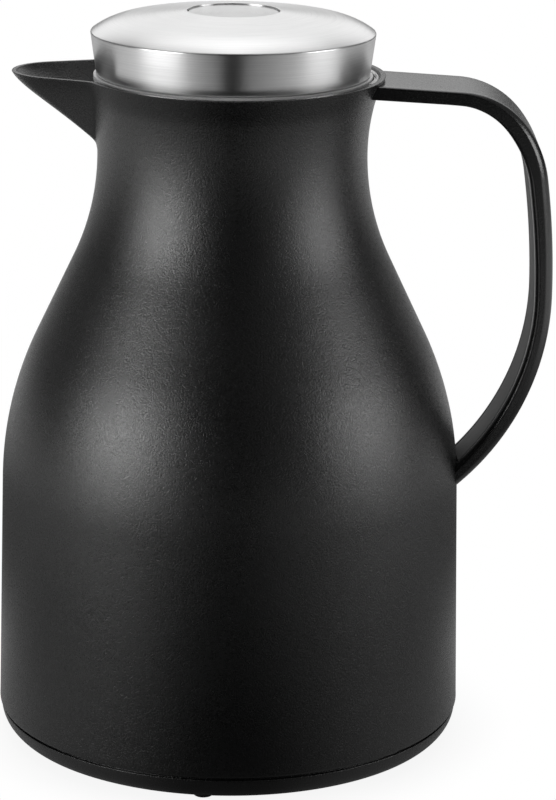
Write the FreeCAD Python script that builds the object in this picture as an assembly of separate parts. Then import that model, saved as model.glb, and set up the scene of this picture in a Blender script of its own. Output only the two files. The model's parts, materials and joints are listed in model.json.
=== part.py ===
import FreeCAD, Part
import math
import os

Vec = FreeCAD.Vector

# Lengths are in millimetres and angles in degrees. Z is up, the jug stands on z = 0,
# the handle points to +X and the spout to -X.

# Outer shape of the casing, from the base seam up to the rim
foot_height = 1.2
casing_bottom = 7.6
wall_radius = 70.2
wall_draft_angle = 1.32
wall_top = 78.6
shoulder_radius = 106.0
shoulder_lean_angle = 25.6
slope_length = 26.1
neck_curve_radius = 73.6
flare_radius = 62.1
flare_height = 23.2
casing_wall = 2.4
rim_edge = 1.6
rim_bevel_depth = 4.0
bottom_edge_round = 1.2
root_depth = 3.3

# Spout
spout_length = 19.9
spout_half_angle = 20.7
spout_tip_radius = 15.3
spout_lip = 1.3
spout_keel_depth = 22.7
spout_keel_bite = 2.2
spout_channel_rise = 3.7
spout_channel_step = 1.5

# Ledge inside the neck, and the collar that hangs under it
ledge_depth = 10.5
ledge_thickness = 2.0
collar_flange_thickness = 2.0
collar_step = 1.95
collar_wall = 2.0
collar_rise = 6.5
throat_step = 2.7
rib_reach = 1.4
rib_height = 2.0
rib_angle = 50.0
arch_radius = 10.0
arch_rise = 4.4

# Base
base_seam_inset = 0.5
base_taper = 3.1
base_seat_step = 1.1
base_floor = 2.2
seam_gap = 0.5
spigot_height = 10.4
spigot_wall = 2.4
foot_radius = 3.0
foot_pocket_depth = 1.4
foot_margin = 0.6
foot_count = 4
foot_first_angle = 264.5

# Vacuum flask
flask_gap = 2.6
glass_wall = 1.6
vacuum_gap = 5.0
flask_corner = 14.0
flask_inner_corner = 10.7
tip_radius = 4.0
tip_end_radius = 1.4
tip_length = 7.0
pad_count = 3
pad_radius = 5.0
pad_ring_radius = 34.0
cushion_height = 10.6
cushion_radius = 30.0
cushion_bore = 10.0
neck_gasket_width = 6.0
neck_gasket_thickness = 2.0

# Handle, drawn in the XZ plane as an outer and an inner curve
handle_drop_angle = 3.2
handle_sink = 2.9
handle_run = 23.0
handle_top_width = 28.0
handle_low_width = 22.0
handle_taper_height = 123.0
strap_top_thickness = 3.6
strap_bend_thickness = 5.6
strap_ease_thickness = 5.7
strap_grip_thickness = 5.3
strap_heel_thickness = 5.1
outer_bend_radius = 24.8
outer_bend_angle = 49.3
outer_ease_radius = 34.8
outer_ease_angle = 29.5
outer_grip_radius = 250.0
outer_heel_radius = 78.8
outer_heel_angle = 58.2
heel_run = 29.0
handle_edge_round = 1.4
inlay_depth = 1.5
inlay_border = 2.2
inlay_end_share = 0.74

# What holds the handle: a tongue with its anchor at the rim, and two screws at the heel
tongue_thickness = 1.6
tongue_width = 7.0
tongue_cover = 1.55
tongue_grip = 0.8
anchor_gap = 0.7
anchor_web = 1.0
anchor_width = 26.0
anchor_drop = 0.5
anchor_pin_radius = 0.9
anchor_pin_inset = 1.3
anchor_pin_side = 1.8
anchor_pin_length = 4.2
heel_screw_spacing = 11.0
heel_screw_radius = 1.2
heel_screw_head_radius = 3.0
heel_screw_head = 1.5
heel_screw_depth = 3.2
heel_screw_rise = 1.2

# Stopper
flange_gap = 1.8
flange_sink = 0.3
flange_thickness = 1.4
barrel_wall = 2.2
skirt_gap = 1.8
skirt_wall = 2.2
skirt_length = 4.4
skirt_floor = 1.8
lug_height = 2.4
lug_angle = 34.0
lug_count = 3
lug_first_angle = 30.0
window_angle = 20.0
window_height = 4.0
window_count = 6
stopper_gasket_thickness = 2.0
cup_gap = 0.9
cup_wall = 2.0
cup_height = 7.6
cup_floor = 2.0
valve_bore_share = 0.55

# Lid cap and core
cap_foot_step = 0.8
cap_foot_gap = 0.3
cap_flare = 1.5
cap_side_height = 12.2
cap_crown_angle = 6.5
cap_shoulder_radius = 22.0
cap_shoulder_angle = 30.0
cap_sheet = 0.6
cap_edge_round = 0.7
core_gap = 0.8
core_wall = 1.8
guide_length = 5.2

# Button, plunger and valve
button_radius = 13.2
button_gap = 0.3
button_sink = 0.5
button_sheet = 0.6
button_skirt = 2.2
plunger_height = 5.6
stem_radius = 4.0
stem_end_radius = 2.5
seal_overlap_share = 0.17
valve_thickness = 2.4
seal_thickness = 2.0
stem_screw_radius = 4.2
stem_screw_thickness = 1.8
press_travel = 4.5
spring_radius = 5.6
spring_wire = 1.0
spring_turn_count = 5

# Latch that holds the button down
cam_width = 8.0
cam_back = 7.0
cam_face = 10.0
cam_length = 7.8
groove_depth = 1.7
groove_margin = 1.6
latch_wire = 1.0
latch_pivot_rise = 1.4
latch_swing_angle = 24.0
latch_leg = 3.6
latch_gap = 1.0
post_width = 4.4
post_height = 2.8
post_depth = 4.0

# Fits
running_gap = 0.4
slide_clearance = 0.3
fit_clearance = 0.15
pin_clearance = 0.05
edge_tolerance = 0.05
overrun = 5.0

full_angle = 360.0
quarter_angle = 90.0

# Which outer edge of the handle is which, and how finely its inner line is drawn
bend_place = 1
heel_place = 4
points_per_arc = 3

# Neck and rim, which follow from the outer shape
tilt = math.radians(wall_draft_angle)
lean = math.radians(shoulder_lean_angle)
wall_top_radius = wall_radius - (wall_top - casing_bottom) * math.tan(tilt)
neck_radius = (wall_top_radius - shoulder_radius * (math.cos(tilt) - math.cos(lean))
               - slope_length * math.sin(lean) - neck_curve_radius * (1 - math.cos(lean)))
neck_height = (wall_top + shoulder_radius * (math.sin(lean) - math.sin(tilt))
               + slope_length * math.cos(lean) + neck_curve_radius * math.sin(lean))
rim_height = neck_height + flare_height
rim_radius = neck_radius + flare_radius - math.sqrt(flare_radius ** 2 - flare_height ** 2)
rim_inner_radius = rim_radius - rim_edge
inner_root = neck_radius - casing_wall - root_depth

# Heights from the rim down to the flask
ledge_top = rim_height - ledge_depth
throat_top = ledge_top - ledge_thickness
throat_bottom = throat_top - collar_flange_thickness
collar_top = ledge_top + collar_rise
lip_height = throat_bottom - neck_gasket_thickness

# Radii from the neck wall in to the stopper
collar_flange_radius = neck_radius - casing_wall - slide_clearance
collar_radius = collar_flange_radius - collar_step
collar_bore = collar_radius - collar_wall
collar_throat = collar_bore - throat_step
rib_inner = collar_bore - rib_reach
barrel_radius = rib_inner - running_gap
barrel_inner = barrel_radius - barrel_wall
lug_radius = collar_bore - running_gap
skirt_radius = collar_throat - skirt_gap
skirt_inner = skirt_radius - skirt_wall
flange_radius = rim_inner_radius - flange_gap

# Heights of the stopper and its valve
flange_top = rim_height - flange_sink
flange_bottom = flange_top - flange_thickness
barrel_bottom = throat_top + stopper_gasket_thickness
lug_top = collar_top - rib_height - slide_clearance
skirt_bottom = barrel_bottom - skirt_length
cup_bottom = skirt_bottom - cup_height
seal_bottom = cup_bottom - seal_thickness
valve_bottom = seal_bottom - valve_thickness

# Lid cap, core and button
cap_foot = flange_top + cap_foot_gap
cap_rim_height = cap_foot + cap_side_height
cap_foot_radius = flange_radius - cap_foot_step
cap_rim_radius = cap_foot_radius + cap_flare
cap_hole_radius = button_radius + button_gap
crown_slope = math.radians(cap_crown_angle)
cap_edge_slope = crown_slope + math.radians(cap_shoulder_angle)
cap_crown_run = (cap_rim_radius - cap_hole_radius
                 - cap_shoulder_radius * (math.sin(cap_edge_slope) - math.sin(crown_slope)))
cap_hole_height = (cap_rim_height + cap_crown_run * math.tan(crown_slope)
                   + cap_shoulder_radius * (math.cos(crown_slope) - math.cos(cap_edge_slope)))
core_radius = cap_foot_radius - cap_sheet - core_gap
button_top = cap_hole_height - button_sink
button_under = button_top - button_sheet
button_foot = button_top - button_skirt
button_inner_radius = button_radius - button_sheet
plunger_bottom = button_top - plunger_height
guide_bottom = plunger_bottom - guide_length
stem_bore = stem_radius + running_gap

# Latch
latch_pivot = flange_top + latch_pivot_rise
cam_bottom = plunger_bottom - cam_length
groove_start = cam_bottom + groove_margin
latch_arm = groove_start - latch_pivot
latch_plane = cam_face + latch_gap + latch_wire / 2
post_front = latch_plane + latch_wire / 2

# Base and flask
base_bottom = foot_height
base_inside = base_bottom + base_floor
base_top_radius = wall_radius - base_seam_inset
base_radius = base_top_radius - base_taper
base_seat_radius = base_top_radius - base_seat_step
foot_circle = base_radius - foot_radius - foot_margin
flask_inset = casing_wall + flask_gap
flask_inner_inset = flask_inset + glass_wall + vacuum_gap
flask_bottom = base_inside + cushion_height
inner_flask_bottom = flask_bottom + glass_wall + vacuum_gap
flask_neck_radius = neck_radius - flask_inset
flask_bore = neck_radius - flask_inner_inset - glass_wall
cup_radius = flask_bore - cup_gap
cup_inner = cup_radius - cup_wall
valve_bore = cup_inner * valve_bore_share
valve_radius = valve_bore + cup_inner * seal_overlap_share

# Handle
outer_bend_x = rim_radius + handle_run
outer_bend_z = rim_height - handle_sink
anchor_inner = collar_radius + anchor_gap
anchor_top = flange_bottom - anchor_drop
tongue_top = outer_bend_z + handle_run * math.tan(math.radians(handle_drop_angle)) - tongue_cover


def at(x, z):
    return Vec(x, 0, z)


def trace(start, heading, moves):
    # Follows a smooth path in the XZ plane and returns its edges and its end point.
    # A move is (length, 0) for a straight run, or (radius, turn) for an arc;
    # a positive turn goes left of the heading.
    edges = []
    point = start
    angle = math.radians(heading)
    for size, turn in moves:
        if turn == 0:
            after = point + at(math.cos(angle), math.sin(angle)) * size
            edges.append(Part.LineSegment(point, after).toShape())
        else:
            arm = math.copysign(size, turn)
            centre = point + at(-math.sin(angle), math.cos(angle)) * arm
            half = angle + math.radians(turn) / 2
            angle += math.radians(turn)
            middle = centre + at(math.sin(half), -math.cos(half)) * arm
            after = centre + at(math.sin(angle), -math.cos(angle)) * arm
            edges.append(Part.Arc(point, middle, after).toShape())
        point = after
    return edges, point


def closed_face(edges, corners):
    # Closes an open chain of edges through the given corner points.
    start = edges[0].Vertexes[0].Point
    end = edges[-1].Vertexes[-1].Point
    stops = [end] + corners + [start]
    sides = [Part.LineSegment(a, b).toShape() for a, b in zip(stops, stops[1:])]
    return Part.Face(Part.Wire(edges + sides))


def band_face(one_side, other_side):
    # The face between two open chains of edges that run the same way.
    ends = [(one_side[0].Vertexes[0].Point, other_side[0].Vertexes[0].Point),
            (one_side[-1].Vertexes[-1].Point, other_side[-1].Vertexes[-1].Point)]
    caps = [Part.LineSegment(a, b).toShape() for a, b in ends]
    return Part.Face(Part.Wire(Part.__sortEdges__(one_side + other_side + caps)))


def spin(face, angle=full_angle):
    return face.revolve(Vec(0, 0, 0), Vec(0, 0, 1), angle)


def polygon(points):
    return Part.Face(Part.makePolygon(points + points[:1]))


def turned(corners):
    # A turned solid from corner points (radius, height).
    return spin(polygon([at(x, z) for x, z in corners]))


def upright_face(inner, outer, low, high):
    # A rectangle in the XZ plane.
    return polygon([at(inner, low), at(outer, low), at(outer, high), at(inner, high)])


def ring(inner, outer, low, high):
    return spin(upright_face(inner, outer, low, high))


def disc(radius, low, high, x=0, y=0):
    return Part.makeCylinder(radius, high - low, Vec(x, y, low))


def sector(inner, outer, low, high, span):
    # A piece of a ring, centred on the X axis.
    piece = spin(upright_face(inner, outer, low, high), span)
    piece.rotate(Vec(0, 0, 0), Vec(0, 0, 1), -span / 2)
    return piece


def box(x, y, z):
    # A block between the two limits given for each axis.
    corner = Vec(x[0], y[0], z[0])
    return Part.makeBox(x[1] - x[0], y[1] - y[0], z[1] - z[0], corner)


def around(shape, count, first=0):
    copies = []
    for index in range(count):
        copy = shape.copy()
        copy.rotate(Vec(0, 0, 0), Vec(0, 0, 1), first + full_angle * index / count)
        copies.append(copy)
    return copies


def joined(first, others):
    for shape in others:
        first = first.fuse(shape)
    return first.removeSplitter()


def without(first, others):
    for shape in others:
        first = first.cut(shape)
    return first


# Outer shape of the jug, and the shapes inside it that keep a steady distance from it

def wall_at(height, inset):
    return wall_radius - (height - casing_bottom) * math.tan(tilt) - inset / math.cos(tilt)


def upper_moves(height, inset):
    # From a point on the wall up over the shoulder to the narrowest part of the neck.
    run = (wall_top - inset * math.sin(tilt) - height) / math.cos(tilt)
    return [
        (run, 0),
        (shoulder_radius - inset, shoulder_lean_angle - wall_draft_angle),
        (slope_length, 0),
        (neck_curve_radius + inset, -shoulder_lean_angle),
    ]


def flare_move(inset, top):
    radius = flare_radius + inset
    return radius, -math.degrees(math.asin((top - neck_height) / radius))


def jug_side(low, inset, top):
    start = at(wall_at(low, inset), low)
    moves = upper_moves(low, inset) + [flare_move(inset, top)]
    return trace(start, quarter_angle + wall_draft_angle, moves)


def casing_block():
    # The full outer shape as one solid.
    edges = jug_side(casing_bottom, 0, rim_height)[0]
    return spin(closed_face(edges, [at(0, rim_height), at(0, casing_bottom)]))


def casing_room():
    # The space inside the casing, with the bevel under the rim edge.
    low = casing_bottom - overrun
    high = rim_height + overrun
    edges, end = jug_side(low, casing_wall, rim_height - rim_bevel_depth)
    slope = (rim_inner_radius - end.x) / rim_bevel_depth
    corners = [at(rim_inner_radius + slope * overrun, high), at(0, high), at(0, low)]
    return spin(closed_face(edges, corners))


def spout_cone(inset, apex):
    # A cone from the mouth outline at the rim down to the apex point.
    spread = math.radians(spout_half_angle)
    radius = spout_tip_radius - inset
    centre = Vec(spout_tip_radius - spout_length - rim_radius, 0, rim_height)
    touch = centre + Vec(-math.sin(spread), math.cos(spread), 0) * radius
    run = (-inner_root - touch.x) / math.cos(spread)
    root = touch + Vec(math.cos(spread), math.sin(spread), 0) * run
    touch_low = Vec(touch.x, -touch.y, touch.z)
    root_low = Vec(root.x, -root.y, root.z)
    tip = centre - Vec(radius, 0, 0)
    outline = Part.Wire([
        Part.LineSegment(root_low, touch_low).toShape(),
        Part.Arc(touch_low, tip, touch).toShape(),
        Part.LineSegment(touch, root).toShape(),
        Part.LineSegment(root, root_low).toShape(),
    ])
    return Part.makeLoft([outline, Part.Vertex(apex)], True, True)


def is_bottom_edge(edge):
    at_bottom = abs(edge.BoundBox.ZMax - casing_bottom) < edge_tolerance
    return edge.Closed and at_bottom and abs(edge.Curve.Radius - wall_radius) < edge_tolerance


def outer_casing(block, room):
    keel = at(spout_keel_bite - neck_radius, rim_height - spout_keel_depth)
    channel = spout_cone(spout_lip, keel + at(spout_channel_step, spout_channel_rise))
    above_ledge = box((-wall_radius, 0), (-wall_radius, wall_radius), (ledge_top, rim_height))
    shell = block.fuse(spout_cone(0, keel))
    shell = without(shell, [room, channel.common(above_ledge)])
    middle_of_wall = neck_radius - casing_wall / 2
    ledge = ring(collar_radius + fit_clearance, middle_of_wall, throat_top, ledge_top)
    shell = joined(shell, [ledge])
    shell = shell.makeFillet(bottom_edge_round, [e for e in shell.Edges if is_bottom_edge(e)])
    shanks = [shank for shank, head in heel_screw_parts()]
    return without(shell, [tongue(fit_clearance)] + shanks)


def neck_collar():
    tube = turned([
        (collar_throat, throat_bottom), (collar_flange_radius, throat_bottom),
        (collar_flange_radius, throat_top), (collar_radius, throat_top),
        (collar_radius, collar_top), (collar_bore, collar_top),
        (collar_bore, throat_top), (collar_throat, throat_top)])
    rib = sector(rib_inner, collar_bore + collar_wall / 2, collar_top - rib_height, collar_top, rib_angle)
    first_rib = lug_first_angle + full_angle / lug_count / 2
    tube = joined(tube, around(rib, lug_count, first_rib))
    arch_top = ledge_top + arch_rise
    reach = collar_radius + overrun
    arch = Part.makeCylinder(arch_radius, reach, at(0, arch_top - arch_radius), Vec(-1, 0, 0))
    above_ledge = box((-reach, 0), (-arch_radius, arch_radius), (ledge_top, arch_top))
    return tube.cut(arch.common(above_ledge))


# Base

def feet():
    foot = disc(foot_radius, 0, foot_height + foot_pocket_depth, foot_circle, 0)
    return around(foot, foot_count, foot_first_angle)


def base_cover():
    spigot_top = casing_bottom + spigot_height
    spigot_outer = wall_at(spigot_top, casing_wall) - slide_clearance
    spigot_inner = spigot_outer - spigot_wall
    seam = casing_bottom - seam_gap
    side_height = seam - base_bottom
    # The side curves in from the seam, where it is upright, down to the bottom.
    curve_radius = (base_taper ** 2 + side_height ** 2) / 2 / base_taper
    side_turn = math.degrees(math.asin(side_height / curve_radius))
    side = trace(at(base_radius, base_bottom), quarter_angle - side_turn, [(curve_radius, side_turn)])[0]
    corners = [
        (base_seat_radius, seam), (base_seat_radius, casing_bottom), (spigot_outer, casing_bottom),
        (spigot_outer, spigot_top), (spigot_inner, spigot_top), (spigot_inner, base_inside),
        (0, base_inside), (0, base_bottom)]
    cover = spin(closed_face(side, [at(x, z) for x, z in corners]))
    return without(cover, feet())


def flask_cushion():
    return ring(cushion_bore, cushion_radius, base_inside, flask_bottom)


# Vacuum flask

def flask_block(inset, corner, bottom, top):
    # A full bottle shape that keeps a steady distance from the outside of the jug.
    corner_end = bottom + corner * (1 + math.sin(tilt))
    flat = wall_at(corner_end, inset) - corner * math.cos(tilt)
    moves = [(flat, 0), (corner, quarter_angle + wall_draft_angle)] + upper_moves(corner_end, inset)
    edges = trace(at(0, bottom), 0, moves + [(top - neck_height, 0)])[0]
    return spin(closed_face(edges, [at(0, top)]))


def outer_flask():
    top = lip_height - glass_wall
    shell = flask_block(flask_inset, flask_corner, flask_bottom, top)
    room = flask_block(flask_inset + glass_wall, flask_corner - glass_wall, flask_bottom + glass_wall,
                       top + overrun)
    tip = Part.makeCone(tip_end_radius, tip_radius, tip_length + glass_wall / 2,
                        at(0, flask_bottom - tip_length))
    return joined(shell.cut(room), [tip])


def inner_flask():
    shell = flask_block(flask_inner_inset, flask_inner_corner, inner_flask_bottom, lip_height)
    room = flask_block(flask_inner_inset + glass_wall, flask_inner_corner - glass_wall,
                       inner_flask_bottom + glass_wall, lip_height + overrun)
    lip = disc(flask_neck_radius, lip_height - glass_wall, lip_height)
    print("flask holds", round(room.common(disc(wall_radius, 0, cup_bottom)).Volume), "cubic millimetres")
    return joined(shell, [lip]).cut(room)


def flask_pads():
    low = flask_bottom + glass_wall
    return around(disc(pad_radius, low, inner_flask_bottom, pad_ring_radius, 0), pad_count)


def neck_gasket():
    inner = flask_neck_radius - neck_gasket_width
    return ring(inner, flask_neck_radius, lip_height, throat_bottom)


# Handle

def outer_edges():
    # A straight run out from the neck, then arcs that bend the strap down to the heel.
    drop = math.radians(handle_drop_angle)
    reach = outer_bend_x - inner_root
    start = at(inner_root, outer_bend_z + reach * math.tan(drop))
    grip_angle = quarter_angle - handle_drop_angle - outer_bend_angle - outer_ease_angle
    moves = [
        (reach / math.cos(drop), 0),
        (outer_bend_radius, -outer_bend_angle),
        (outer_ease_radius, -outer_ease_angle),
        (outer_grip_radius, -grip_angle),
        (outer_heel_radius, -outer_heel_angle),
        (heel_run, 0),
    ]
    return trace(start, -handle_drop_angle, moves)[0]


def strap_point(place, height):
    # A point of the strap's section. The place is the number of an outer edge plus a share
    # of its length, and the height is measured outward from the inner face.
    edges = outer_edges()
    steps = [strap_top_thickness, strap_top_thickness, strap_bend_thickness, strap_ease_thickness,
             strap_grip_thickness, strap_heel_thickness, strap_heel_thickness]
    number = min(int(place), len(edges) - 1)
    share = place - number
    edge = edges[number]
    spot = edge.FirstParameter + (edge.LastParameter - edge.FirstParameter) * share
    heading = edge.tangentAt(spot)
    inward = Vec(heading.z, 0, -heading.x)
    thickness = steps[number] + (steps[number + 1] - steps[number]) * share
    return edge.valueAt(spot) + inward * (thickness - height)


def strap_line(first, last, height):
    # A smooth line along the strap between two places.
    spans = math.ceil((last - first) * points_per_arc)
    places = [first + (last - first) * step / spans for step in range(spans + 1)]
    curve = Part.BSplineCurve()
    curve.interpolate([strap_point(place, height) for place in places])
    return [curve.toShape()]


def slab(face, width):
    # A flat face of the XZ plane, given thickness along Y.
    solid = face.extrude(Vec(0, width, 0))
    solid.translate(Vec(0, -width / 2, 0))
    return solid


def handle_wedge(border):
    # The room between the two tapering sides of the handle.
    high = rim_height
    low = casing_bottom
    shrink = (handle_top_width - handle_low_width) / 2 / handle_taper_height
    top_half = handle_top_width / 2 - border
    low_half = top_half - shrink * (high - low)
    corners = [Vec(0, -low_half, low), Vec(0, low_half, low),
               Vec(0, top_half, high), Vec(0, -top_half, high)]
    reach = outer_bend_x + outer_bend_radius + outer_ease_radius
    return polygon(corners).extrude(Vec(reach, 0, 0))


def runs_beside(edge, wire):
    # True for an edge that follows the wire on one side of the handle.
    middle = edge.valueAt((edge.FirstParameter + edge.LastParameter) / 2)
    flat = Part.Vertex(at(middle.x, middle.z))
    return abs(middle.y) > handle_low_width / 4 and flat.distToShape(wire)[0] < edge_tolerance


def handle_blank():
    outside = outer_edges()
    inside = strap_line(0, len(outside), 0)
    blank = slab(band_face(outside, inside), handle_top_width).common(handle_wedge(0))
    outer_wire = Part.Wire(outside)
    return blank.makeFillet(handle_edge_round, [e for e in blank.Edges if runs_beside(e, outer_wire)])


def inlay_room(clearance):
    # The channel for the strip in the inner face, from the bend down to the heel.
    last = heel_place + inlay_end_share
    face = band_face(strap_line(bend_place, last, inlay_depth), strap_line(bend_place, last, -overrun))
    return slab(face, handle_top_width).common(handle_wedge(inlay_border + clearance))


def tongue(clearance):
    # The tab at the top end of the strap that goes through the casing into the anchor.
    x = (anchor_inner + anchor_web - clearance, rim_radius + tongue_grip)
    half = tongue_width / 2 + clearance
    z = (tongue_top - tongue_thickness - clearance, tongue_top + clearance)
    return box(x, (-half, half), z)


def side_radius(height, inset):
    # Radius of the casing's side, or of a shape inside it, at one height.
    side = Part.Wire(jug_side(casing_bottom, inset, rim_height)[0])
    level = Part.LineSegment(at(0, height), at(wall_radius, height)).toShape()
    return side.distToShape(level)[1][0][0].x


def heel_height():
    # The middle of the joint between the strap and the casing wall.
    casing_side = Part.Wire(jug_side(casing_bottom, 0, rim_height)[0])
    sides = [outer_edges()[heel_place:], strap_line(heel_place, heel_place + 2, 0)]
    crossings = [Part.Wire(edges).distToShape(casing_side)[1][0][0] for edges in sides]
    return sum(point.z for point in crossings) / len(crossings)


def heel_screw_parts():
    # The shank and the head of each screw, driven outward from inside the casing.
    height = heel_height() + heel_screw_rise
    half_chord = heel_screw_spacing / 2 + heel_screw_head_radius
    edge_heights = (height - heel_screw_head_radius, height + heel_screw_head_radius)
    wall_inside = min(side_radius(edge_height, casing_wall) for edge_height in edge_heights)
    seat_x = math.sqrt(wall_inside ** 2 - half_chord ** 2)
    parts = []
    for y in (-heel_screw_spacing / 2, heel_screw_spacing / 2):
        seat = Vec(seat_x, y, height)
        shank = Part.makeCylinder(heel_screw_radius, casing_wall + heel_screw_depth, seat, Vec(1, 0, 0))
        head = Part.makeCylinder(heel_screw_head_radius, heel_screw_head, seat, Vec(-1, 0, 0))
        parts.append((shank, head))
    return parts


def heel_screws():
    return [joined(shank, [head]) for shank, head in heel_screw_parts()]


def anchor_pin():
    x = anchor_inner + anchor_web + anchor_pin_inset
    return disc(anchor_pin_radius, anchor_top - anchor_pin_length, anchor_top, x, anchor_pin_side)


def handle_strap(block):
    strap = without(handle_blank(), [inlay_room(0), block])
    strap = joined(strap, [tongue(0)])
    shanks = [shank for shank, head in heel_screw_parts()]
    return without(strap, [anchor_pin()] + shanks)


def handle_inlay(block):
    return handle_blank().common(inlay_room(fit_clearance)).cut(block)


def handle_anchor(room):
    half = anchor_width / 2
    block = box((anchor_inner, rim_radius), (-half, half), (ledge_top, anchor_top))
    return without(block.common(room), [tongue(fit_clearance), anchor_pin()])


# Stopper

def stopper_body():
    sill = barrel_bottom + barrel_wall
    floor_top = skirt_bottom + skirt_floor
    body = turned([
        (cup_inner, skirt_bottom), (skirt_radius, skirt_bottom), (skirt_radius, barrel_bottom),
        (barrel_radius, barrel_bottom), (barrel_radius, flange_bottom), (flange_radius, flange_bottom),
        (flange_radius, flange_top), (stem_bore, flange_top), (stem_bore, flange_bottom),
        (barrel_inner, flange_bottom), (barrel_inner, sill), (skirt_inner, sill),
        (skirt_inner, floor_top), (cup_inner, floor_top)])
    lug = sector(barrel_inner, lug_radius, lug_top - lug_height, lug_top, lug_angle)
    body = joined(body, around(lug, lug_count, lug_first_angle))
    window = sector(skirt_inner, collar_bore, sill, sill + window_height, window_angle)
    body = without(body, around(window, window_count))
    half = post_width / 2
    post = box((-half, half), (post_front, post_front + post_depth), (flange_top, flange_top + post_height))
    pivot = Part.makeCylinder(latch_wire / 2 + pin_clearance, post_depth,
                              Vec(0, post_front, latch_pivot), Vec(0, 1, 0))
    return joined(body, [post]).cut(pivot)


def stopper_gasket():
    return ring(skirt_radius + slide_clearance, barrel_radius, throat_top, barrel_bottom)


def stopper_cup():
    floor_top = cup_bottom + cup_floor
    return turned([
        (valve_bore, cup_bottom), (cup_radius, cup_bottom), (cup_radius, skirt_bottom),
        (cup_inner, skirt_bottom), (cup_inner, floor_top), (valve_bore, floor_top)])


# Lid cap and core

def crown_face(depth):
    # What lies under the cap's domed top, at a depth below it, in the XZ plane:
    # a gentle slope beside the button, then the shoulder's arc until it points straight down.
    start = at(cap_hole_radius, cap_hole_height - depth / math.cos(crown_slope))
    run = cap_crown_run / math.cos(crown_slope) - depth * math.tan(crown_slope)
    moves = [(run, 0), (cap_shoulder_radius - depth, cap_crown_angle - quarter_angle)]
    edges, end = trace(start, -cap_crown_angle, moves)
    low = flange_bottom - cap_shoulder_radius
    return closed_face(edges, [at(end.x, low), at(cap_hole_radius, low)])


def side_face(depth):
    # What lies inside the cap's leaning side, at a depth from it.
    lean_out = cap_flare / cap_side_height
    low_radius = cap_foot_radius - depth * math.sqrt(1 + lean_out ** 2)
    high_radius = low_radius + lean_out * (cap_hole_height - cap_foot)
    return polygon([
        at(cap_hole_radius, cap_foot), at(low_radius, cap_foot),
        at(high_radius, cap_hole_height), at(cap_hole_radius, cap_hole_height)])


def lid_cap():
    outside = crown_face(0).common(side_face(0))
    inside = crown_face(cap_sheet).common(side_face(cap_sheet))
    shell = spin(outside.cut(inside).Faces[0])
    rim = [e for e in shell.Edges if e.Closed and abs(e.Curve.Radius - cap_rim_radius) < edge_tolerance]
    return shell.makeFillet(cap_edge_round, rim)


def lid_core():
    inner = core_radius - core_wall
    guide_outer = cap_hole_radius + core_wall
    block = crown_face(cap_sheet).common(
        upright_face(cap_hole_radius, core_radius, flange_top, cap_hole_height))
    room = crown_face(cap_sheet + core_wall).common(
        upright_face(guide_outer, inner, flange_top, cap_hole_height))
    below_guide = upright_face(cap_hole_radius, guide_outer, flange_top, guide_bottom)
    return spin(without(block, [room, below_guide]).Faces[0])


# Button, plunger and valve

def button_cap():
    return turned([
        (0, button_under), (button_inner_radius, button_under), (button_inner_radius, button_foot),
        (button_radius, button_foot), (button_radius, button_top), (0, button_top)])


def button_plunger():
    plunger = turned([
        (0, valve_bottom), (stem_end_radius, valve_bottom), (stem_end_radius, seal_bottom),
        (stem_radius, seal_bottom), (stem_radius, plunger_bottom), (button_radius, plunger_bottom),
        (button_radius, button_foot), (button_inner_radius, button_foot),
        (button_inner_radius, button_under), (0, button_under)])
    half = cam_width / 2
    cam = box((-half, half), (cam_back, cam_face), (cam_bottom, plunger_bottom))
    return joined(plunger, [cam]).cut(cam_groove())


def slot(start, end, radius):
    # A round-ended slot in the face of the cam, between two (x, z) points.
    a = Vec(start[0], cam_face, start[1])
    b = Vec(end[0], cam_face, end[1])
    along = b - a
    side = Vec(-along.z, 0, along.x).normalize() * radius
    bar = polygon([a + side, b + side, b - side, a - side]).extrude(Vec(0, -groove_depth, 0))
    rounds = [Part.makeCylinder(radius, groove_depth, p, Vec(0, -1, 0)) for p in (a, b)]
    return joined(bar, rounds)


def cam_groove():
    # A heart-shaped loop: the latch tip climbs one side, rests in the notch and returns.
    swing = math.radians(latch_swing_angle)
    side = latch_arm * math.sin(swing)
    high = groove_start + press_travel - latch_arm * (1 - math.cos(swing))
    start = (0, groove_start)
    notch = (0, high - slide_clearance)
    loop = [start, (side, high), notch, (-side, high), start]
    slots = [slot(a, b, latch_wire / 2 + slide_clearance) for a, b in zip(loop, loop[1:])]
    return joined(slots[0], slots[1:])


def latch_pin():
    radius = latch_wire / 2
    tip = cam_face - groove_depth + slide_clearance
    low = Vec(0, latch_plane, latch_pivot)
    high = Vec(0, latch_plane, groove_start)
    arm = Part.makeCylinder(radius, latch_arm, low, Vec(0, 0, 1))
    pivot_leg = Part.makeCylinder(radius, latch_leg, low, Vec(0, 1, 0))
    tip_leg = Part.makeCylinder(radius, latch_plane - tip, high, Vec(0, -1, 0))
    bends = [Part.makeSphere(radius, corner) for corner in (low, high)]
    return joined(arm, [pivot_leg, tip_leg] + bends)


def button_spring():
    # A coil with ground ends, between the stopper and the underside of the plunger.
    wire = spring_wire / 2
    low = flange_top + wire / 2
    high = plunger_bottom - wire / 2
    helix = Part.makeHelix((high - low) / spring_turn_count, high - low, spring_radius)
    helix.translate(at(0, low))
    section = Part.Wire(Part.Circle(at(spring_radius, low), Vec(0, 1, 0), wire).toShape())
    coil = Part.Wire(helix).makePipeShell([section], True, True)
    ends = [Part.makeTorus(spring_radius, wire, at(0, z)) for z in (low, high)]
    room = disc(spring_radius + spring_wire, flange_top, plunger_bottom)
    return joined(coil, ends).common(room)


def valve_plate():
    return ring(stem_end_radius, valve_radius, valve_bottom, seal_bottom)


def valve_seal():
    return ring(stem_radius, valve_radius, seal_bottom, cup_bottom)


def stem_screw():
    return disc(stem_screw_radius, valve_bottom - stem_screw_thickness, valve_bottom)


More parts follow.
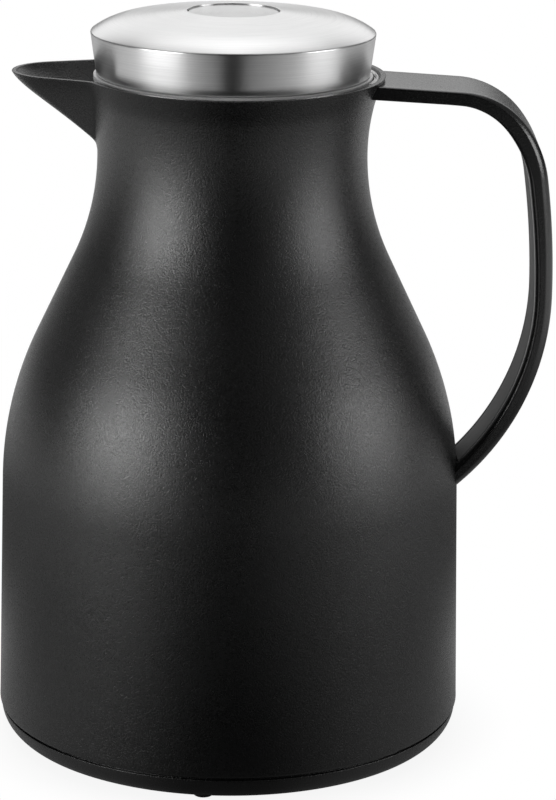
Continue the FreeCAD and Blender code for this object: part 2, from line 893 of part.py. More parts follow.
def save(name, shapes):
    solids = [solid for shape in shapes for solid in shape.Solids]
    whole = solids[0] if len(solids) == 1 else Part.makeCompound(solids)
    whole.exportStep("parts/" + name + ".step")
    print(name, len(solids), whole.isValid(), round(whole.Volume))


def build():
    os.makedirs("parts", exist_ok=True)
    block = casing_block()
    room = casing_room()
    save("outer_casing", [outer_casing(block, room)])
    save("neck_collar", [neck_collar()])
    save("base_cover", [base_cover()])
    for number, foot in enumerate(feet(), 1):
        save("rubber_foot_" + str(number), [foot])
    save("flask_cushion", [flask_cushion()])
    save("outer_flask", [outer_flask()])
    save("inner_flask", [inner_flask()])
    save("flask_pads", flask_pads())
    save("neck_gasket", [neck_gasket()])
    save("handle_strap", [handle_strap(block)])
    save("handle_inlay", [handle_inlay(block)])
    save("handle_anchor", [handle_anchor(room)])
    save("anchor_pin", [anchor_pin()])
    save("heel_screws", heel_screws())
    save("stopper_body", [stopper_body()])
    save("stopper_cup", [stopper_cup()])
    save("stopper_gasket", [stopper_gasket()])
    save("lid_cap", [lid_cap()])
    save("lid_core", [lid_core()])
    save("button_cap", [button_cap()])
    save("button_plunger", [button_plunger()])
    save("button_spring", [button_spring()])
    save("latch_pin", [latch_pin()])
    save("valve_plate", [valve_plate()])
    save("valve_seal", [valve_seal()])
    save("stem_screw", [stem_screw()])


build()
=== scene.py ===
import json
import math
import bmesh
import bpy
import numpy as np
from mathutils import Matrix


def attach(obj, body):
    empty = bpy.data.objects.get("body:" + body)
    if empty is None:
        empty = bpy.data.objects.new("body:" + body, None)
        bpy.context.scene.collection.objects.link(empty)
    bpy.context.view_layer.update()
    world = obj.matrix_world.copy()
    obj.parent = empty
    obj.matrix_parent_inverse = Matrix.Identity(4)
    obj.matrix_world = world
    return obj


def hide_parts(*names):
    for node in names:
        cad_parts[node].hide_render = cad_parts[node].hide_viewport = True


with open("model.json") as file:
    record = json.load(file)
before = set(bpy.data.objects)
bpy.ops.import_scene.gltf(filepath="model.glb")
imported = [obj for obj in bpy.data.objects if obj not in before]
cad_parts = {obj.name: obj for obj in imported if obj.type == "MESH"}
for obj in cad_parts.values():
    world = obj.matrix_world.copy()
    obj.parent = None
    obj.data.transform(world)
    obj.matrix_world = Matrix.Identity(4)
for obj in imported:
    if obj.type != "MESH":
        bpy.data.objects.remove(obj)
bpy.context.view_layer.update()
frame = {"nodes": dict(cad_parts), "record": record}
nodes = frame["nodes"]
mm = 0.001  # metres in a millimetre
tiny = 1e-6  # keeps a division clear of zero on the axis
noiseMean = 0.5  # the middle value of a noise texture
print("frame loaded:", len(nodes), "nodes")

# Materials


class Wire:
    # a socket that takes part in sums: each operator adds a Math node
    def __init__(self, tree, socket):
        self.tree, self.socket = tree, socket

    def calc(self, operation, first, second=0.0):
        return self.tree.add("ShaderNodeMath", {"operation": operation}, {0: first, 1: second})

    def __add__(self, other):
        return self.calc("ADD", self, other)

    def __radd__(self, other):
        return self.calc("ADD", other, self)

    def __sub__(self, other):
        return self.calc("SUBTRACT", self, other)

    def __rsub__(self, other):
        return self.calc("SUBTRACT", other, self)

    def __mul__(self, other):
        return self.calc("MULTIPLY", self, other)

    def __rmul__(self, other):
        return self.calc("MULTIPLY", other, self)

    def __truediv__(self, other):
        return self.calc("DIVIDE", self, other)

    def __rtruediv__(self, other):
        return self.calc("DIVIDE", other, self)

    def root(self):
        return self.calc("SQRT", self)

    def ease(self, low, high, fromValue, toValue):
        # a smooth step between two values
        return self.tree.add("ShaderNodeMapRange", {"interpolation_type": "SMOOTHSTEP"},
                             {0: self, 1: low, 2: high, 3: fromValue, 4: toValue})


class Tree:
    def __init__(self, nodeTree):
        self.nodes, self.links = nodeTree.nodes, nodeTree.links

    def add(self, kind, settings=None, inputs=None, output=0):
        # the one way to make a node: settings first, then the values or links of its sockets
        made = self.nodes.new(kind)
        for key, value in (settings or {}).items():
            setattr(made, key, value)
        for key, value in (inputs or {}).items():
            self.feed(made.inputs[key], value)
        return Wire(self, made.outputs[output])

    def feed(self, socket, value):
        if isinstance(value, Wire):
            self.links.new(value.socket, socket)
        else:
            socket.default_value = value

    def split(self, vector):
        parts = self.add("ShaderNodeSeparateXYZ", None, {0: vector}).socket.node
        return [Wire(self, part) for part in parts.outputs]

    def blend(self, share, first, second):
        # a colour between two colours, by the colour sockets of the Mix node
        return self.add("ShaderNodeMix", {"data_type": "RGBA"}, {0: share, 6: first, 7: second}, 2)


def grey(level, tint=0.0):
    # a grey whose red is lower and whose blue is higher by the tint's share
    return (level * (1 - tint), level, level * (1 + tint), 1.0)


def newFinish(name, **sockets):
    # a material with one Principled shader; the sockets given here are fixed values
    material = bpy.data.materials.new(name)
    material.use_nodes = True
    tree = Tree(material.node_tree)
    shader = tree.nodes["Principled BSDF"]
    for key, value in sockets.items():
        shader.inputs[key.replace("_", " ")].default_value = value
    return material, tree, shader


def dressShader(tree, shader, colour, roughness, bump):
    # links the three inputs that change over every surface
    tree.feed(shader.inputs["Base Color"], colour)
    tree.feed(shader.inputs["Roughness"], roughness)
    tree.feed(shader.inputs["Normal"], bump)


grainy = {"detail": 2.0, "fineness": 0.65, "bump": 0.7, "specks": (0.35, 0.7, 0.0, 1.0), "spread": 0.2,
          "blotchScale": 45.0, "blotchDetail": 3.0, "blotchSpread": 0.08}


def mouldedPlastic(name, dark, light, rough, grain, depth, specular):
    # spark-eroded grain in millimetres: specks in colour and roughness, and a bump of the same size
    material, tree, shader = newFinish(name, Specular_IOR_Level=specular)
    place = tree.add("ShaderNodeTexCoord", output="Object")
    fine = tree.add("ShaderNodeTexNoise", None, {"Vector": place, "Scale": 1 / (grain * mm),
                                                 "Detail": grainy["detail"], "Roughness": grainy["fineness"]})
    broad = tree.add("ShaderNodeTexNoise", None, {"Vector": place, "Scale": grainy["blotchScale"],
                                                  "Detail": grainy["blotchDetail"]})
    bump = tree.add("ShaderNodeBump", None,
                    {"Strength": grainy["bump"], "Distance": depth * mm, "Height": fine})
    roughness = rough + (fine - noiseMean) * grainy["spread"]
    roughness = roughness + (broad - noiseMean) * grainy["blotchSpread"]
    dressShader(tree, shader, tree.blend(fine.ease(*grainy["specks"]), dark, light), roughness, bump)
    return material


brushed = {"lines": 5200.0, "along": 1.6, "detail": 4.0, "fineness": 0.7, "bump": 0.12, "depth": 0.02,
           "specks": (0.25, 0.75, 0.0, 1.0), "darkShare": 0.9, "lightShare": 1.06, "spread": 0.12,
           "turn": 0.25}


def brushedSteel(name, tone, rough, stretch):
    # lines that run round the axis: noise over height less radius, slow along the turn
    material, tree, shader = newFinish(name, Metallic=1.0, Anisotropic=stretch,
                                       Anisotropic_Rotation=brushed["turn"])
    x, y, z = tree.split(tree.add("ShaderNodeTexCoord", output="Object"))
    radius = (x * x + y * y).root() + tiny
    around = tree.add("ShaderNodeCombineXYZ", None,
                      {0: (z - radius) * brushed["lines"], 1: x / radius * brushed["along"],
                       2: y / radius * brushed["along"]})
    lines = tree.add("ShaderNodeTexNoise", None, {"Vector": around, "Scale": 1.0, "Detail": brushed["detail"],
                                                  "Roughness": brushed["fineness"]})
    bump = tree.add("ShaderNodeBump", None,
                    {"Strength": brushed["bump"], "Distance": brushed["depth"] * mm, "Height": lines})
    dark, light = grey(tone * brushed["darkShare"]), grey(min(1.0, tone * brushed["lightShare"]))
    roughness = rough + (lines - noiseMean) * brushed["spread"]
    dressShader(tree, shader, tree.blend(lines.ease(*brushed["specks"]), dark, light), roughness, bump)
    return material


silvered = {"coat": 0.6, "coatRough": 0.02, "scale": 30.0, "detail": 2.0, "bump": 0.08, "depth": 1.0,
            "dark": grey(0.68, 0.015), "light": grey(0.84, 0.01), "rough": 0.05, "spread": 0.06}
plated = {"scale": 900.0, "detail": 3.0, "bump": 0.2, "depth": 0.02, "dark": grey(0.46), "light": grey(0.64),
          "rough": 0.2, "spread": 0.16}


def brightMetal(name, look, **sockets):
    # a bright metal with one noise for its tone, roughness and bump
    material, tree, shader = newFinish(name, Metallic=1.0, **sockets)
    place = tree.add("ShaderNodeTexCoord", output="Object")
    marks = tree.add("ShaderNodeTexNoise", None,
                     {"Vector": place, "Scale": look["scale"], "Detail": look["detail"]})
    bump = tree.add("ShaderNodeBump", None,
                    {"Strength": look["bump"], "Distance": look["depth"] * mm, "Height": marks})
    colour = tree.blend(marks, look["dark"], look["light"])
    dressShader(tree, shader, colour, look["rough"] + marks * look["spread"], bump)
    return material


jetDark, jetLight = grey(0.0010, 0.03), grey(0.0045, 0.03)
feltDark, feltLight = (0.42, 0.38, 0.32, 1.0), (0.6, 0.55, 0.48, 1.0)

# dark tone, light tone, roughness, grain size and grain depth in millimetres, specular level
plastics = {
    "casing_black": (jetDark, jetLight, 0.28, 0.46, 0.19, 1.0),
    "handle_black": (jetDark, jetLight, 0.24, 0.5, 0.05, 1.0),
    "collar_black": (grey(0.010), grey(0.016), 0.5, 0.5, 0.03, 0.5),
    "inlay_grey": (grey(0.055), grey(0.09), 0.55, 0.4, 0.03, 0.5),
    "stopper_grey": (grey(0.66), grey(0.74), 0.36, 0.5, 0.02, 0.5),
    "anchor_grey": (grey(0.56), grey(0.64), 0.36, 0.5, 0.02, 0.5),
    "foot_rubber": (grey(0.010), grey(0.020), 0.75, 0.6, 0.05, 0.3),
    "pale_silicone": (grey(0.52), grey(0.58), 0.38, 0.8, 0.02, 0.5),
    "felt": (feltDark, feltLight, 0.9, 0.9, 0.2, 0.1),
}

# tone, roughness and how far the brushing stretches highlights
steels = {"lid_steel": (0.87, 0.31, 0.75), "button_steel": (0.72, 0.34, 0.6)}

finishes = {name: mouldedPlastic(name, *look) for name, look in plastics.items()}
finishes.update({name: brushedSteel(name, *look) for name, look in steels.items()})
finishes["pin_steel"] = brightMetal("pin_steel", plated)
finishes["silvered_glass"] = brightMetal("silvered_glass", silvered, Coat_Weight=silvered["coat"],
                                         Coat_Roughness=silvered["coatRough"])

for part in frame["record"]["subparts"]:
    for held in nodes[part["node"]].material_slots:
        held.material = finishes[part["material_slot"]]
print("materials made:", len(finishes))

# Surfaces: every size from here on is in millimetres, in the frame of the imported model

meshing = {"weld": 0.0002, "sharpAngle": 40.0, "cornerSegments": 6, "columns": 192}


def addPiece(name, points, faces, body, slot, replaced):
    # one finished piece at the origin, welded, facing outward, shaded smooth and riding on its body
    mesh = bpy.data.meshes.new(name)
    mesh.from_pydata((points.reshape(-1, 3) * mm).tolist(), [], faces.reshape(-1, 4).tolist())
    weld = bmesh.new()
    weld.from_mesh(mesh)
    bmesh.ops.remove_doubles(weld, verts=weld.verts, dist=meshing["weld"] * mm)
    bmesh.ops.recalc_face_normals(weld, faces=weld.faces)
    weld.to_mesh(mesh)
    weld.free()
    mesh.polygons.foreach_set("use_smooth", np.ones(len(mesh.polygons), bool))
    mesh.set_sharp_from_angle(angle=math.radians(meshing["sharpAngle"]))
    mesh.materials.append(finishes[slot])
    piece = bpy.data.objects.new(name, mesh)
    bpy.context.scene.collection.objects.link(piece)
    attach(piece, body)
    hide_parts(*replaced)


def gridFaces(rows, columns, closeRows=True):
    # quads of a grid that closes along its columns, and along its rows where asked
    firstRows = np.arange(rows if closeRows else rows - 1)
    row, column = np.meshgrid(firstRows, np.arange(columns), indexing="ij")
    nextRow, nextColumn = (row + 1) % rows, (column + 1) % columns
    corners = [row * columns + column, row * columns + nextColumn,
               nextRow * columns + nextColumn, nextRow * columns + column]
    return np.stack(corners, -1)


def cappedGrid(points):
    # closes both ends of a tube of rows with a fan of faces
    ends = [np.repeat(row.mean(0)[None], len(row), 0)[None] for row in (points[0], points[-1])]
    points = np.concatenate([ends[0], points, ends[1]])
    return points, gridFaces(*points.shape[:2], closeRows=False)


def tracePath(start, heading, moves, step):
    # points along lines and arcs that join smoothly: a move is (length, 0) or (radius, degrees)
    point, angle, runs = np.array(start, float), math.radians(heading), [np.array([start], float)]
    for size, turn in moves:
        length = size if turn == 0 else abs(math.radians(turn)) * size
        share = np.linspace(0, 1, max(2, math.ceil(length / step)) + 1)[1:, None]
        if turn == 0:
            run = point + share * size * np.array([math.cos(angle), math.sin(angle)])
        else:
            arm = math.copysign(size, turn)
            centre = point + arm * np.array([-math.sin(angle), math.cos(angle)])
            bend = angle + share * math.radians(turn)
            run = centre + arm * np.hstack([np.sin(bend), -np.cos(bend)])
            angle += math.radians(turn)
        runs.append(run)
        point = run[-1]
    return np.vstack(runs)


def roundedLine(corners):
    # an outline from corners (radius, height, corner round); a round corner becomes an arc
    points = np.array([corner[:2] for corner in corners], float)
    share = np.linspace(0, 1, meshing["cornerSegments"] + 1)[:, None]
    runs = []
    for place, (point, size) in enumerate(zip(points, [corner[2] for corner in corners])):
        if size == 0:
            runs.append(point[None])
            continue
        sides = [points[place - 1] - point, points[(place + 1) % len(points)] - point]
        before, after = (side / np.linalg.norm(side) for side in sides)
        half = math.acos(np.clip(before @ after, -1, 1)) / 2
        middle = (before + after) / np.linalg.norm(before + after)
        centre = point + middle * size / math.sin(half)
        reach = size / math.tan(half)
        spoke = (point + before * reach - centre) * (1 - share) + (point + after * reach - centre) * share
        runs.append(centre + spoke * size / np.linalg.norm(spoke, axis=1)[:, None])
    return np.vstack(runs)


def plain(points):
    # corners without a round, from a traced path
    return [(radius, height, 0) for radius, height in points]


def turnProfile(profile, columns):
    # spins an outline round the upright axis: x = r cos a, y = r sin a
    turn = np.linspace(0, 2 * np.pi, columns, endpoint=False)
    radius, height = profile[:, 0][:, None], profile[:, 1][:, None]
    return np.stack([radius * np.cos(turn), radius * np.sin(turn), height + 0 * turn], -1)


def turnedPiece(name, corners, body, slot, replaced, columns=meshing["columns"]):
    # an outline that starts on the axis ends on it too, and closes there by its poles
    profile = roundedLine(corners)
    points = turnProfile(profile, columns)
    faces = gridFaces(*points.shape[:2], closeRows=profile[0, 0] > 0)
    addPiece(name, points, faces, body, slot, replaced)


def softMax(first, second, blend):
    # the larger of two values with a soft change: half of the sum of both and of the root of their squared
    # difference plus the squared blend
    return (first + second + np.sqrt((first - second) ** 2 + blend ** 2)) / 2


def smoothStep(value, low, high):
    # three times the squared share less twice its cube; the share goes from 0 at low to 1 at high
    share = np.clip((value - low) / (high - low), 0, 1)
    return share * share * (3 - 2 * share)


# Casing with its spout

jug = {"wallRadius": 70.2, "draft": 1.32, "wallTop": 78.6, "shoulder": 106.0, "lean": 25.6, "slope": 26.1,
       "neck": 73.6, "flare": 62.1, "flareHeight": 23.2, "bottom": 7.6, "wall": 2.4, "rimEdge": 1.6,
       "bevel": 4.0, "bottomRound": 1.2, "ledgeTop": 190.0, "ledgeUnder": 188.0, "ledgeInner": 35.2,
       "ledgeGap": 0.5, "ledgeLap": 0.1, "rimRound": 0.22, "rimFlatness": 8, "rimDip": -0.5,
       "spoutRise": 0.35, "dipStart": 182.0, "rimFlare": 0.5, "flareStart": 192.0, "traceStep": 0.6}
spout = {"length": 20.5, "halfAngle": 20.7, "tipRadius": 15.3, "lip": 1.3, "keelX": -37.5,
         "keelDepth": 22.7, "floorX": -36.0, "floorDepth": 19.0, "outerBlend": 1.3, "innerBlend": 0.5,
         "bulge": 0.6, "bulgePower": 4, "fullness": 0.65, "leastFacing": 0.02}
casingGrid = {"spoutFrom": 140, "spoutTo": 220, "spoutColumns": 230, "otherColumns": 130, "wallStart": 1.5,
              "wallStep": 1.9, "keelMargin": 1.0, "spoutRows": 76, "innerRows": 40, "rimRows": 15,
              "hiddenRows": 30, "cornerRows": 9}


def jugSide(inset):
    # the side at a steady inset: drafted wall, shoulder arc, slope, neck arc and flare
    tilt, flareRadius = math.radians(jug["draft"]), jug["flare"] + inset
    run = (jug["wallTop"] - inset * math.sin(tilt) - jug["bottom"]) / math.cos(tilt)
    moves = [(run, 0), (jug["shoulder"] - inset, jug["lean"] - jug["draft"]), (jug["slope"], 0),
             (jug["neck"] + inset, -jug["lean"]),
             (flareRadius, -math.degrees(math.asin(jug["flareHeight"] / flareRadius)))]
    start = (jug["wallRadius"] - inset / math.cos(tilt), jug["bottom"])
    return tracePath(start, 90 + jug["draft"], moves, jug["traceStep"])


outerSide, innerSide = jugSide(0), jugSide(jug["wall"])
rimRadius, rimHeight = outerSide[-1]
print("rim radius", round(rimRadius, 2), "at height", round(rimHeight, 2))


def sideRadius(side, height):
    # the radius of a side at a height, straight between its traced points
    return np.interp(height, side[:, 1], side[:, 0])


def bevelRadius(height):
    # inner face of the neck: the wall, then the bevel that opens towards the rim
    low = rimHeight - jug["bevel"]
    wall = sideRadius(innerSide, np.minimum(height, low))
    share = np.clip((height - low) / jug["bevel"], 0, 1)
    return wall + (rimRadius + jug["rimFlare"] - jug["rimEdge"] - wall) * share


def spoutReach(turn, height, inset, apexX, apexDepth):
    # how far the spout reaches in each direction: its mouth at the rim is a round tip between two
    # straight sides; below, the tip draws back to the apex and the tip's round shrinks more slowly
    size = np.clip((height - rimHeight + apexDepth) / apexDepth, 0, None)
    draw = size + spout["bulge"] * size ** spout["bulgePower"] * (1 - size)
    spread, mouth = math.radians(spout["halfAngle"]), -spout["length"] - rimRadius + inset
    tipRadius = (spout["tipRadius"] - inset) * size ** spout["fullness"]
    centre = apexX + (mouth - apexX) * draw + tipRadius
    reachX, reachY = np.cos(turn), np.abs(np.sin(turn))
    facing = -math.sin(spread) * reachX + math.cos(spread) * reachY
    clear = np.where(facing > spout["leastFacing"], facing, np.inf)
    onSide = (-math.sin(spread) * centre + tipRadius) / clear
    along = (onSide * reachX - centre) * math.cos(spread) + onSide * reachY * math.sin(spread)
    toCentre = centre * reachX
    inside = np.clip(tipRadius ** 2 - centre ** 2 + toCentre ** 2, 0, None)
    reach = np.where(along >= 0, onSide, toCentre + np.sqrt(inside))
    return np.where((reachX < 0) & (size > 0), reach, 0)


def rimShift(turn, height):
    # the rim dips a little in front and behind, and rises at the spout
    shift = jug["rimDip"] * np.sin(turn) ** 2 + jug["spoutRise"] * np.clip(-np.cos(turn), 0, 1) ** 2
    return shift * smoothStep(height, jug["dipStart"], rimHeight)


def makeCasing():
    # rows run from the ledge down the inside, up the outside, over the rim and back to the ledge; columns
    # crowd round the spout; each radius is the soft larger one of the round wall and the spout
    spoutFrom, spoutTo = (math.radians(casingGrid[key]) for key in ("spoutFrom", "spoutTo"))
    near = np.linspace(spoutFrom, spoutTo, casingGrid["spoutColumns"], endpoint=False)
    away = np.linspace(spoutTo, spoutFrom + 2 * np.pi, casingGrid["otherColumns"], endpoint=False)
    turn = np.concatenate([near, away])[None, :]
    corner, edge = jug["bottomRound"], rimHeight - jug["rimRound"]
    arc = np.linspace(0, np.pi / 2, casingGrid["cornerRows"])
    heel = np.stack([jug["wallRadius"] - corner + corner * np.sin(arc),
                     jug["bottom"] + corner - corner * np.cos(arc)], 1)
    keelZ = rimHeight - spout["keelDepth"] - casingGrid["keelMargin"]
    wallZ = np.arange(heel[-1, 1] + casingGrid["wallStart"], keelZ, casingGrid["wallStep"])
    outZ = np.concatenate([wallZ, np.linspace(keelZ, edge, casingGrid["spoutRows"])])[:, None]
    lipFlare = jug["rimFlare"] * smoothStep(outZ, jug["flareStart"], rimHeight)
    keel = spoutReach(turn, outZ, 0, spout["keelX"], spout["keelDepth"])
    outer = softMax(sideRadius(outerSide, outZ) + lipFlare, keel, spout["outerBlend"])
    inZ = np.linspace(edge, jug["ledgeTop"], casingGrid["innerRows"])[:, None]
    trough = spoutReach(turn, inZ, spout["lip"], spout["floorX"], spout["floorDepth"])
    inner = softMax(bevelRadius(inZ), trough, spout["innerBlend"])
    over = np.sin(np.linspace(-np.pi / 2, np.pi / 2, casingGrid["rimRows"]))[1:-1, None]
    rimRow = outer[-1] + (inner[0] - outer[-1]) * (1 + over) / 2
    rimZ = edge + jug["rimRound"] * (1 - over ** jug["rimFlatness"])
    downZ = np.linspace(jug["ledgeUnder"] - jug["ledgeGap"], jug["bottom"], casingGrid["hiddenRows"])
    down = np.stack([sideRadius(innerSide, downZ), downZ], 1)
    ledge = [(jug["ledgeInner"], jug["ledgeTop"]), (jug["ledgeInner"], jug["ledgeUnder"]),
             (down[0, 0] - jug["ledgeLap"], jug["ledgeUnder"])]
    turned = np.vstack([ledge, down, heel])
    flat = np.ones_like(turn)
    radius = np.vstack([turned[:, :1] * flat, outer * flat, rimRow, inner * flat])
    height = np.vstack([turned[:, 1:] * flat, outZ * flat, rimZ * flat, inZ * flat])
    height = height + rimShift(turn, height)
    points = np.stack([radius * np.cos(turn), radius * np.sin(turn), height], -1)
    addPiece("casing", points, gridFaces(*points.shape[:2]), "jug", "casing_black", ["outer_casing"])


makeCasing()
print("casing made")

# Base and feet

base = {"radius": 66.6, "topRadius": 69.7, "bottom": 1.2, "seam": 7.1, "seat": 68.6, "top": 7.6,
        "spigot": 67.0, "spigotTop": 18.0, "spigotInner": 64.6, "inside": 3.4, "grooveRadius": 32.0,
        "grooveWidth": 3.0, "grooveDepth": 0.5, "grooveRound": 0.2, "bottomRound": 0.3, "edgeRound": 0.15,
        "seatRound": 0.05, "rootRound": 0.1, "spigotRound": 0.5, "traceStep": 0.4, "columns": 256}


def makeBase():
    # a shallow cover whose side curves in from the seam to the bottom, with a ring groove underneath
    drop, taper = base["seam"] - base["bottom"], base["topRadius"] - base["radius"]
    curve = (taper ** 2 + drop ** 2) / 2 / taper
    turn = math.degrees(math.asin(drop / curve))
    side = tracePath((base["radius"], base["bottom"]), 90 - turn, [(curve, turn)], base["traceStep"])
    grooveIn, grooveOut = base["grooveRadius"], base["grooveRadius"] + base["grooveWidth"]
    roof, low, grooveRound = base["bottom"] + base["grooveDepth"], base["bottom"], base["grooveRound"]
    underside = [(0, low, 0), (grooveIn, low, grooveRound), (grooveIn, roof, grooveRound),
                 (grooveOut, roof, grooveRound), (grooveOut, low, grooveRound),
                 (base["radius"], low, base["bottomRound"])]
    spigot = [(base["topRadius"], base["seam"], base["edgeRound"]),
              (base["seat"], base["seam"], base["seatRound"]),
              (base["seat"], base["top"], base["seatRound"]),
              (base["spigot"], base["top"], base["rootRound"]),
              (base["spigot"], base["spigotTop"], base["spigotRound"]),
              (base["spigotInner"], base["spigotTop"], base["spigotRound"]),
              (base["spigotInner"], base["inside"], base["spigotRound"]), (0, base["inside"], 0)]
    turnedPiece("base", underside + plain(side[1:-1]) + spigot, "jug", "casing_black", ["base_cover"],
                base["columns"])


foot = {"radius": 3.0, "top": 2.6, "circle": 63.0, "first": 264.5, "count": 4, "lowRound": 0.6,
        "topRound": 0.1, "columns": 48}


def makeFeet():
    # a rounded rubber button, copied round the base
    outline = roundedLine([(0, 0, 0), (foot["radius"], 0, foot["lowRound"]),
                           (foot["radius"], foot["top"], foot["topRound"]), (0, foot["top"], 0)])
    stud = turnProfile(outline, foot["columns"])
    angle = np.radians(foot["first"] + 360 / foot["count"] * np.arange(foot["count"]))
    shift = foot["circle"] * np.stack([np.cos(angle), np.sin(angle), 0 * angle], 1)
    points = stud[None] + shift[:, None, None]
    start = np.arange(foot["count"]) * stud[..., 0].size
    faces = gridFaces(*stud.shape[:2], closeRows=False)[None] + start[:, None, None, None]
    addPiece("feet", points, faces, "jug", "foot_rubber",
             ["rubber_foot_1", "rubber_foot_2", "rubber_foot_3", "rubber_foot_4"])


makeBase()
makeFeet()
print("base and feet made")

# Handle: thickness and rounds are given at each joint of the strap's line, and ends as shares of its last arc

strap = {"drop": 3.2, "bendX": 66.7, "bendZ": 197.95, "rootX": 34.0, "topWidth": 29.0, "lowWidth": 22.0,
         "taper": 123.0, "arcs": [(25.3, 49.3), (34.8, 29.5), (250.0, 8.0), (78.8, 58.2)], "tail": 12.0,
         "thickness": [4.0, 3.9, 5.6, 5.7, 5.3, 5.1, 5.1],
         "outerRound": [0.4, 0.5, 1.7, 2.3, 2.3, 1.6, 1.4],
         "innerRound": [0.3, 0.3, 0.9, 1.5, 1.5, 1.5, 1.5],
         "creaseArc": 50.0, "creaseRun": 1.5, "creasePoints": 12, "innerRun": 1.8, "innerPoints": 9,
         "channelDepth": 1.5, "channelBorder": 3.0, "channelRamp": 1.5, "channelEnd": 0.82, "lip": 0.2,
         "sideMargin": 0.15, "sink": 1.2, "flatShares": (0.35, 0.7), "floorShare": 0.5,
         "stationStep": 1.2, "softening": 9}
inlay = {"end": 0.77, "endGap": 0.3, "sideGap": 0.15, "step": 0.3, "crown": 0.1, "brimShare": 0.09,
         "endRound": 0.6, "endTaper": 0.25, "floorGap": 0.05, "stationStep": 1.0, "across": 25}


def strapStations(step):
    # outer line of the strap, its inward direction, thickness and edge rounds at each station, the travel
    # along it, and the travel where the channel starts, where it ends and where the inlay ends
    drop = math.radians(strap["drop"])
    reach = strap["bendX"] - strap["rootX"]
    start = (strap["rootX"], strap["bendZ"] + reach * math.tan(drop))
    moves = [(reach / math.cos(drop), 0)] + [(radius, -turn) for radius, turn in strap["arcs"]]
    moves.append((strap["tail"], 0))
    outer = tracePath(start, -strap["drop"], moves, step)
    lengths = [size if turn == 0 else size * abs(math.radians(turn)) for size, turn in moves]
    joints = np.concatenate([[0], np.cumsum(lengths)])
    travel = np.concatenate([[0], np.cumsum(np.linalg.norm(np.diff(outer, axis=0), axis=1))])
    travel *= joints[-1] / travel[-1]
    heading = np.gradient(outer, axis=0)
    heading /= np.linalg.norm(heading, axis=1)[:, None]
    inward = np.stack([heading[:, 1], -heading[:, 0]], 1)
    sizes = [np.interp(travel, joints, strap[key]) for key in ("thickness", "outerRound", "innerRound")]
    count = strap["softening"]
    padded = [np.pad(size, count // 2, mode="edge") for size in sizes]
    thickness, *rounds = (np.convolve(size, np.ones(count) / count, mode="valid") for size in padded)
    lastArc = joints[-3:-1]
    ends = [lastArc[0] + (lastArc[1] - lastArc[0]) * share for share in (strap["channelEnd"], inlay["end"])]
    return outer, inward, thickness, rounds, travel, (joints[1], *ends)


def strapHalfWidth(outer, inward, thickness):
    # the strap narrows evenly from the rim downward
    height = outer[:, 1] + inward[:, 1] * thickness / 2
    shrink = (strap["topWidth"] - strap["lowWidth"]) / 2 / strap["taper"]
    return strap["topWidth"] / 2 - (rimHeight - height) * shrink


def placeSection(outer, inward, depth, across):
    # section points: depth is measured inward from the outer line, across along Y
    spot = outer[:, None, :] + inward[:, None, :] * depth[..., None]
    return np.stack([spot[..., 0], across, spot[..., 1]], -1)


def intoCasing(points):
    # the ends of the strap stop just inside the casing's outer face
    limit = sideRadius(outerSide, points[..., 2]) - strap["sink"]
    inner = np.sqrt(np.clip(limit ** 2 - points[..., 1] ** 2, 0, None))
    points[..., 0] = np.maximum(points[..., 0], inner)
    return points


def makeStrap():
    # bar section carried along the outer line: a channel in its inner face, and an outer face that falls
    # away to a crease on each side; the fall is part of an ellipse, so it meets the side at an angle
    outer, inward, thickness, rounds, travel, channel = strapStations(strap["stationStep"])
    half, thick = strapHalfWidth(outer, inward, thickness)[:, None], thickness[:, None]
    edge, small = (size[:, None] for size in rounds)
    ramp, margin, lip = strap["channelRamp"], strap["sideMargin"], strap["lip"]
    ease = np.clip((travel - channel[0]) / ramp, 0, 1) * np.clip((channel[1] - travel) / ramp, 0, 1)
    ease = ease[:, None]
    floor = thick - strap["channelDepth"] * ease
    inside = half - strap["channelBorder"]
    border, fall = small * strap["innerRun"], edge * strap["creaseRun"]
    arc, none = np.linspace(0, np.pi / 2, strap["innerPoints"])[None, :], np.zeros_like(half)
    crease = math.radians(strap["creaseArc"])
    lean = np.linspace(0, crease, strap["creasePoints"])[None, :]
    width = np.hstack([none, *[half * share for share in strap["flatShares"]],
                       half - fall + fall * np.sin(lean) / math.sin(crease), half, half,
                       half - border + border * np.cos(arc), inside + lip, inside, inside,
                       inside * strap["floorShare"], none])
    depth = np.hstack([none, *[none for share in strap["flatShares"]],
                       edge * (1 - np.cos(lean)) / (1 - math.cos(crease)), edge + margin,
                       thick - small - margin, thick - small + small * np.sin(arc), thick,
                       thick - lip * ease, floor, floor, floor])
    width = np.hstack([width, -width[:, -2:0:-1]])
    depth = np.hstack([depth, depth[:, -2:0:-1]])
    points, faces = cappedGrid(intoCasing(placeSection(outer, inward, depth, width)))
    addPiece("strap", points, faces, "jug", "handle_black", ["handle_strap"])


